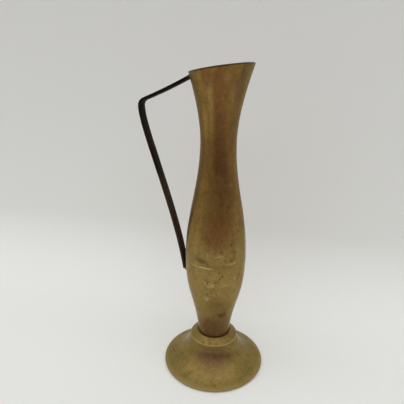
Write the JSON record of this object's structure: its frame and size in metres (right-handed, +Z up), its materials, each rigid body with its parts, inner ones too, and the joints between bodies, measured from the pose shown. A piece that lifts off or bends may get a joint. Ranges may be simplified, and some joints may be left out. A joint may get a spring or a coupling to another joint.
{
  "type": "brass ewer",
  "caption": "Slender footed brass ewer with an oblique flared mouth, a swelling belly and a bent flat-strip handle.",
  "frame": {"origin": "middle of the footprint's bounding box, on the surface it stands on", "axes": "+Z up along the turned body, +X towards the high lip and away from the handle, +Y across the handle's strip"},
  "size_m": [0.1048, 0.086, 0.25],
  "materials": {
    "body_brass": "aged, satin, mottled olive-gold patina",
    "foot_brass": "aged, satin, golden with reddish-brown patches",
    "braze": "dull as-brazed fillet",
    "fastener_brass": "dull, darkened",
    "strip_metal": "blackened flat strip with a worn brown sheen"
  },
  "bodies": {
    "root": {"neck_shell": "body_brass", "lower_bowl": "body_brass", "belly_seam_braze": "braze", "foot_collar": "foot_brass", "foot": "foot_brass", "base_stud": "fastener_brass", "foot_washer": "fastener_brass", "foot_nut": "fastener_brass", "handle_strip": "strip_metal", "handle_top_braze": "braze", "handle_bottom_braze": "braze"}
  },
  "joints": []
}
